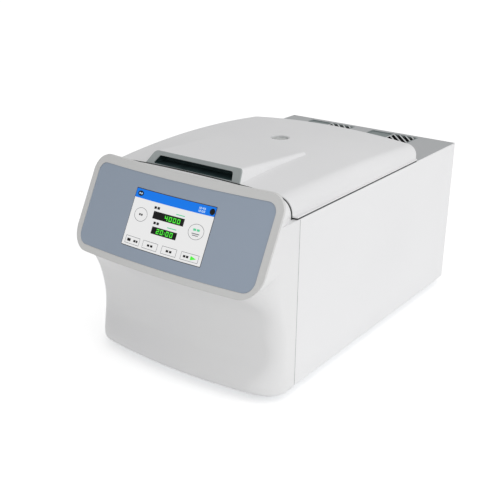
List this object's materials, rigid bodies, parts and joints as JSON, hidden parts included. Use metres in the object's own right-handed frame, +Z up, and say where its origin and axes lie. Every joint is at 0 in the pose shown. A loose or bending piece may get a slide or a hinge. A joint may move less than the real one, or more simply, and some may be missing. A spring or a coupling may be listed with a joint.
{
  "type": "refrigerated benchtop centrifuge",
  "caption": "Benchtop refrigerated centrifuge with a hinged crowned lid, a touch panel on a tilted face, a cooled bowl and a fixed angle rotor.",
  "frame": {"origin": "middle of the footprint, on the plane that the feet stand on", "axes": "+X to the operator's right, +Y from the front to the back, +Z up"},
  "size_m": [0.3608, 0.6508, 0.34],
  "materials": {
    "shell_white": "satin moulded",
    "bezel_warm_grey": "satin",
    "overlay_blue_grey": "smooth",
    "screen_glass": "gloss",
    "module_black": "matt",
    "board_green": "matt",
    "zinc_steel": "zinc plated",
    "sheet_white": "powder coated",
    "cover_grey": "powder coated",
    "grille_grey": "matt",
    "deck_grey": "satin",
    "black_rubber": "matt",
    "stainless": "drawn",
    "copper": "drawn tube",
    "foam": "foamed",
    "ring_primer": "primed",
    "motor_aluminium": "cast",
    "bright_steel": "ground",
    "stator_iron": "laminated",
    "rotor_aluminium": "anodised",
    "clear_plastic": "clear",
    "knob_black": "matt",
    "lid_grey": "satin moulded",
    "grip_grey": "satin",
    "grip_dark": "matt",
    "port_grey": "satin",
    "hinge_steel": "zinc plated",
    "compressor_black": "painted",
    "bare_aluminium": "bare",
    "fan_black": "matt",
    "inlet_black": "matt"
  },
  "bodies": {
    "housing": {"front_shell": "shell_white", "panel_bezel": "bezel_warm_grey", "control_overlay": "overlay_blue_grey", "touch_screen": "screen_glass", "display_module": "module_black", "control_board": "board_green", "base_plate": "zinc_steel", "side_panel_left": "sheet_white", "side_panel_right": "sheet_white", "rear_panel": "sheet_white", "rear_top_cover": "cover_grey", "vent_grille_left": "grille_grey", "vent_grille_right": "grille_grey", "chamber_deck": "deck_grey", "deck_edge_seal": "black_rubber", "chamber_bowl": "stainless", "evaporator_coil": "copper", "insulation_foam": "foam", "guard_ring": "ring_primer", "motor_housing": "motor_aluminium", "motor_bearings": "bright_steel", "motor_stator": "stator_iron", "motor_mounts": "black_rubber", "motor_gaiter": "black_rubber", "hinge_bracket_left": "hinge_steel", "hinge_bracket_right": "hinge_steel", "hinge_pins": "bright_steel", "latch_bracket": "zinc_steel", "latch_motor": "module_black", "compressor": "compressor_black", "compressor_grommets": "black_rubber", "condenser": "bare_aluminium", "fan_shroud": "fan_black", "discharge_pipe": "copper", "liquid_pipe": "copper", "filter_drier": "copper", "inverter": "bare_aluminium", "power_inlet": "inlet_black", "switch_frame": "inlet_black", "rubber_feet": "black_rubber", "panel_screws": "zinc_steel"},
    "lid": {"lid_shell": "lid_grey", "grip_surround": "grip_grey", "grip_pocket": "grip_dark", "lid_liner": "stainless", "lid_gasket": "black_rubber", "lid_insulation": "foam", "port_tube": "port_grey", "port_glass": "clear_plastic", "lid_striker": "bright_steel", "hinge_arm_left": "hinge_steel", "hinge_arm_right": "hinge_steel"},
    "rotor": {"drive_shaft": "bright_steel", "motor_rotor": "stator_iron", "angle_rotor": "rotor_aluminium", "rotor_lid": "clear_plastic"},
    "knob": {"rotor_knob": "knob_black"},
    "latch": {"latch_hook": "bright_steel"},
    "fan": {"fan_impeller": "fan_black"},
    "rocker": {"rocker": "inlet_black"}
  },
  "joints": [
    {"name": "lid_hinge", "type": "hinge", "parent": "housing", "child": "lid", "pos_m": [0, 0.17262, 0.292], "axis": [-1, 0, 0], "range_deg": [0, 72]},
    {"name": "rotor_spin", "type": "hinge", "parent": "housing", "child": "rotor", "pos_m": [0, 0.00242, 0.147], "axis": [0, 0, 1], "continuous": true},
    {"name": "knob_turn", "type": "hinge", "parent": "rotor", "child": "knob", "pos_m": [0, 0.00242, 0.24], "axis": [0, 0, 1], "range_deg": [0, 90]},
    {"name": "latch_swing", "type": "hinge", "parent": "housing", "child": "latch", "pos_m": [0, -0.18798, 0.2365], "axis": [-1, 0, 0], "range_deg": [0, 34]},
    {"name": "fan_spin", "type": "hinge", "parent": "housing", "child": "fan", "pos_m": [0.074, 0.30962, 0.09], "axis": [0, 1, 0], "continuous": true},
    {"name": "rocker_tilt", "type": "hinge", "parent": "housing", "child": "rocker", "pos_m": [-0.128, 0.31532, 0.108], "axis": [1, 0, 0], "range_deg": [0, 16]}
  ]
}
